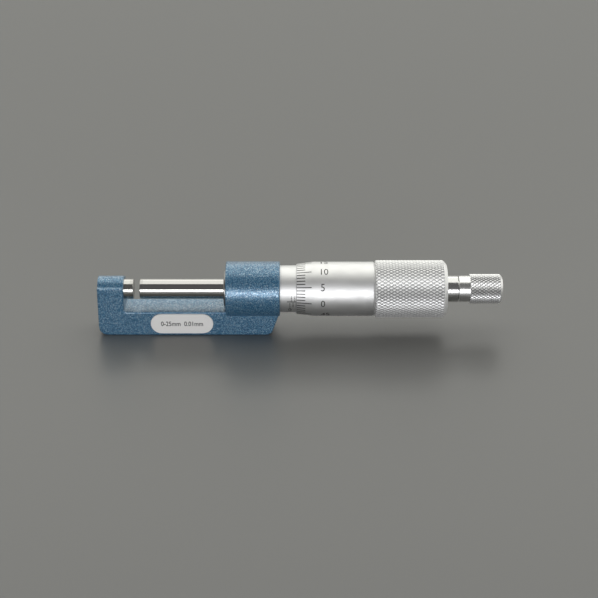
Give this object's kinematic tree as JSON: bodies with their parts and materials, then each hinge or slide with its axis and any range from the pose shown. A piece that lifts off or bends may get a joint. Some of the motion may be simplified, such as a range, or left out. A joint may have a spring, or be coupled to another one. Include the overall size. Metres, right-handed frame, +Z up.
{
  "type": "hub micrometer",
  "caption": "Small outside micrometer with a low straight frame that passes through a bore to measure hub walls, with graduated sleeve and thimble and a ratchet stop.",
  "frame": {"origin": "on the base plane, below the anvil's measuring face, in the frame's middle plane", "axes": "+X along the measuring axis toward the ratchet, +Y away from the side with the range plate, +Z up from the base"},
  "size_m": [0.1267, 0.018, 0.023],
  "materials": {
    "frame_paint": "fine hammertone enamel, semi-gloss, on cast iron",
    "plate_metal": "fine brushed anodised sheet with dark printed range",
    "ground_steel": "ground and lapped hardened steel",
    "carbide": "lapped carbide",
    "tool_steel": "fine turned steel",
    "satin_chrome": "satin chrome plate with black-filled graduations",
    "bright_steel": "bright turned steel",
    "knob_chrome": "chrome plate over a diamond knurl",
    "spring_steel": "drawn wire"
  },
  "bodies": {
    "frame": {"frame": "frame_paint", "range_plate": "plate_metal", "anvil": "ground_steel", "anvil_tip": "carbide", "inner_sleeve": "tool_steel", "outer_sleeve": "satin_chrome", "adjusting_nut": "tool_steel"},
    "spindle": {"spindle": "ground_steel", "spindle_tip": "carbide"},
    "thimble": {"thimble": "satin_chrome", "ratchet_base": "bright_steel", "ratchet_screw": "tool_steel", "ratchet_washer": "tool_steel"},
    "ratchet": {"ratchet_knob": "knob_chrome", "ratchet_spring": "spring_steel"},
    "clutch": {"ratchet_clutch": "tool_steel"}
  },
  "joints": [
    {"name": "spindle_feed", "type": "slide", "parent": "frame", "child": "spindle", "axis": [1, 0, 0], "range_m": [-0.002, 0.023]},
    {"name": "thimble_spin", "type": "hinge", "parent": "spindle", "child": "thimble", "pos_m": [0.075, 0, 0.014], "axis": [1, 0, 0], "range_deg": [-1440, 16560]},
    {"name": "ratchet_spin", "type": "hinge", "parent": "thimble", "child": "ratchet", "pos_m": [0.11, 0, 0.014], "axis": [1, 0, 0], "continuous": true},
    {"name": "clutch_lift", "type": "slide", "parent": "ratchet", "child": "clutch", "axis": [1, 0, 0], "range_m": [0, 0.00062], "deforming": ["ratchet_spring"]}
  ],
  "couplings": [
    {"joint": "thimble_spin", "follows": "spindle_feed", "rad_per_m": 12566}
  ]
}
